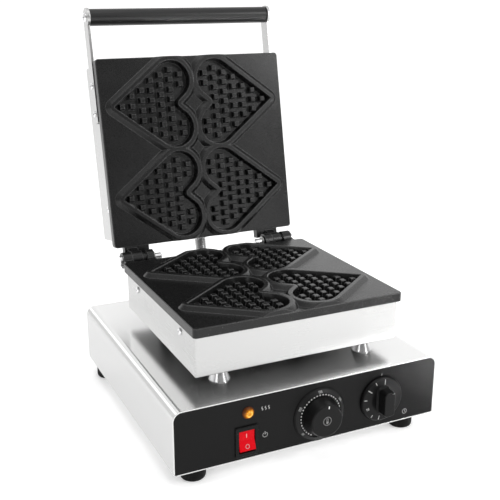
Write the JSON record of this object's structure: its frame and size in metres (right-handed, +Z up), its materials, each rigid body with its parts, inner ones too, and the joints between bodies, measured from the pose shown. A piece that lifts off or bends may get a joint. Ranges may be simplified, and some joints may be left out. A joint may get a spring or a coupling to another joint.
{
  "type": "heart waffle iron",
  "caption": "Countertop waffle iron with heart cavities: steel cabinet with switch, lamp, thermostat and timer, plate on cones, and hinged plate lid with arms and grip.",
  "frame": {"origin": "on the plane that the feet stand on, midway across, and midway front to back of the appliance with its lid open", "axes": "+Z up, +Y from the control panel towards the hinge, +X to the right as seen from the front"},
  "size_m": [0.305, 0.3945, 0.4437],
  "materials": {
    "brushed_stainless": "bright brushed stainless sheet, fine straight grain",
    "polished_chrome": "polished plating",
    "zinc_steel": "zinc plated",
    "black_panel": "satin black control panel",
    "nonstick_plate": "cast aluminium with a satin black non-stick coat",
    "black_grip": "satin black heat-resistant plastic tube",
    "black_plastic": "moulded black plastic",
    "black_knob": "satin moulded black plastic",
    "black_rubber": "matt moulded rubber",
    "red_rocker": "clear red plastic",
    "amber_lens": "clear amber plastic",
    "pale_plastic": "heat-resistant moulding",
    "copper_like": "bright drawn tube and brass",
    "element_steel": "heat-darkened sheath",
    "mineral_mat": "pressed mineral fibre mat",
    "wire_silicone": "silicone sleeving",
    "hose_metal": "flexible metal hose"
  },
  "bodies": {
    "cabinet": {"base_cover": "brushed_stainless", "bottom_tray": "brushed_stainless", "control_panel": "black_panel", "cover_screws": "zinc_steel", "rubber_feet": "black_rubber", "foot_screws": "zinc_steel", "foot_nuts": "zinc_steel", "cord_gland": "black_plastic", "gland_locknut": "black_plastic", "power_switch_housing": "black_plastic", "pilot_lamp_lens": "amber_lens", "pilot_lamp_body": "pale_plastic", "thermostat_body": "pale_plastic", "thermostat_dial": "black_knob", "thermostat_capillary": "copper_like", "timer_body": "pale_plastic", "terminal_block": "pale_plastic", "terminal_screws": "copper_like", "cabinet_wiring": "wire_silicone", "standoff_cones": "polished_chrome", "standoff_tubes": "zinc_steel", "standoff_nuts": "zinc_steel", "lower_casing": "brushed_stainless", "casing_screws": "polished_chrome", "lower_plate": "nonstick_plate", "hinge_pins": "polished_chrome", "pin_clips": "zinc_steel", "lower_heater": "element_steel", "lower_heater_clamp": "zinc_steel", "lower_clamp_screws": "zinc_steel", "lower_insulation": "mineral_mat", "lower_heater_leads": "wire_silicone", "base_hose_gland": "polished_chrome", "conduit_hose": "hose_metal"},
    "lid": {"lid_plate": "nonstick_plate", "lid_cover": "brushed_stainless", "lid_cover_screws": "polished_chrome", "lid_heater": "element_steel", "lid_heater_clamp": "zinc_steel", "lid_clamp_screws": "zinc_steel", "lid_insulation": "mineral_mat", "arm_left": "polished_chrome", "arm_right": "polished_chrome", "arm_screws": "polished_chrome", "arm_nuts": "zinc_steel", "handle_screws": "polished_chrome", "handle_grip": "black_grip", "handle_rod": "zinc_steel", "lid_hose_gland": "polished_chrome"},
    "rocker": {"power_rocker": "red_rocker"},
    "thermostat_dial_knob": {"thermostat_knob": "black_knob", "thermostat_shaft": "zinc_steel"},
    "timer_dial_knob": {"timer_knob": "black_knob", "timer_shaft": "zinc_steel"}
  },
  "joints": [
    {"name": "lid_hinge", "type": "hinge", "parent": "cabinet", "child": "lid", "pos_m": [0, 0.08374, 0.15383], "axis": [1, 0, 0], "range_deg": [0, 101.5], "deforming": ["conduit_hose"]},
    {"name": "power_rocker_tilt", "type": "hinge", "parent": "cabinet", "child": "rocker", "pos_m": [-0.0752, -0.1726, 0.0381], "axis": [1, 0, 0], "range_deg": [0, 18]},
    {"name": "thermostat_turn", "type": "hinge", "parent": "cabinet", "child": "thermostat_dial_knob", "pos_m": [0.0075, -0.1786, 0.0485], "axis": [0, 1, 0], "range_deg": [-150, 150]},
    {"name": "timer_turn", "type": "hinge", "parent": "cabinet", "child": "timer_dial_knob", "pos_m": [0.0823, -0.1786, 0.0503], "axis": [0, 1, 0], "range_deg": [0, 330]}
  ]
}
